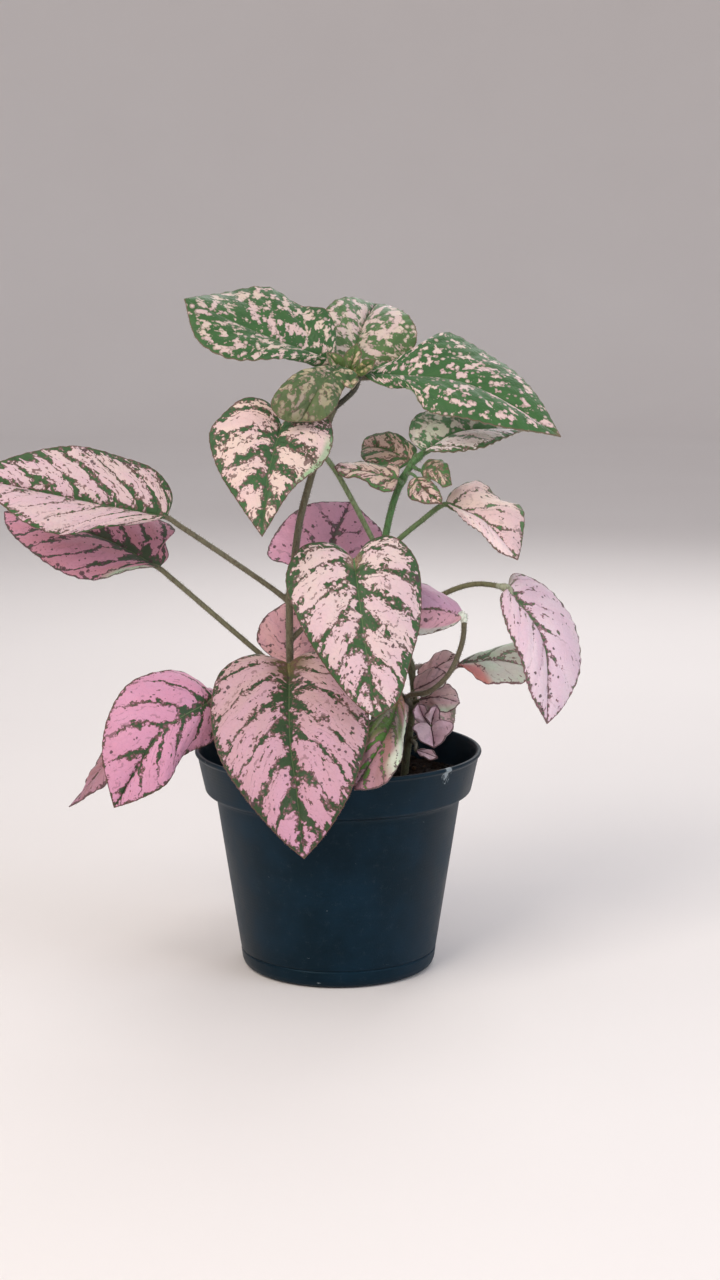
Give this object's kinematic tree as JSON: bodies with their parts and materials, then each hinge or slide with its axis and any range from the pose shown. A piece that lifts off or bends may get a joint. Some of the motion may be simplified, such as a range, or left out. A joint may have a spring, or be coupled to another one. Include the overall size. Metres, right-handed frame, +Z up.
{
  "type": "potted polka dot plant",
  "caption": "Small potted houseplant with thin stems and soft pointed leaves, pink with green veins and speckled edges, growing from dark potting mix in a round black plastic pot",
  "frame": {"origin": "on the floor, on the pot's axis, at the middle of the pot's flat foot", "axes": "+Z up along the pot's axis; the front of the plant, the side that the picture shows, looks along -Y; +X is to the right in the picture"},
  "size_m": [0.2039, 0.1347, 0.236],
  "materials": {
    "pot_plastic": "thin moulded plastic, satin, with dust and light scuffs",
    "potting_mix": "loose dark potting mix, matt and crumbly",
    "stem_brown_green": "soft plant stem, brown-green, with short hairs",
    "stem_green": "soft young plant stem, bright green, with short hairs",
    "leaf_green": "soft leaf, green with cream-pink splashes, thin maroon edge",
    "leaf_pink": "soft leaf, light pink with green veins and maroon dots, thin maroon edge",
    "leaf_mauve": "soft leaf, dusky mauve with dark green veins",
    "leaf_pale": "soft leaf, very pale lilac-pink with a thin green rib"
  },
  "bodies": {
    "root": {"leaf_back_left": "leaf_pink", "leaf_back_low": "leaf_pink", "leaf_back_middle": "leaf_pink", "leaf_back_right": "leaf_pink", "leaf_back_short": "leaf_pink", "leaf_back_top_right": "leaf_green", "leaf_back_upper": "leaf_pink", "leaf_behind_centre": "leaf_mauve", "leaf_behind_stem": "leaf_mauve", "leaf_centre_heart": "leaf_pink", "leaf_curl_lower": "leaf_mauve", "leaf_curl_middle": "leaf_mauve", "leaf_curl_upper": "leaf_pink", "leaf_far_left_lower": "leaf_mauve", "leaf_far_left_upper": "leaf_pink", "leaf_folded_right": "leaf_pink", "leaf_front_heart": "leaf_pink", "leaf_low_left": "leaf_pink", "leaf_low_left_narrow": "leaf_mauve", "leaf_over_rim": "leaf_mauve", "leaf_right_hanging": "leaf_pale", "leaf_right_pale": "leaf_pale", "leaf_right_upper": "leaf_pink", "leaf_second_right": "leaf_green", "leaf_shoot_back": "leaf_green", "leaf_shoot_front": "leaf_pink", "leaf_shoot_left": "leaf_pink", "leaf_shoot_right": "leaf_green", "leaf_tiny": "leaf_mauve", "leaf_top_back": "leaf_green", "leaf_top_front": "leaf_green", "leaf_top_left": "leaf_green", "leaf_top_right": "leaf_green", "leaf_upper_heart": "leaf_pink", "pot": "pot_plastic", "rosette": "leaf_mauve", "soil": "potting_mix", "stem_low": "stem_brown_green", "stem_main": "stem_brown_green", "stem_shoot": "stem_green"}
  },
  "joints": []
}
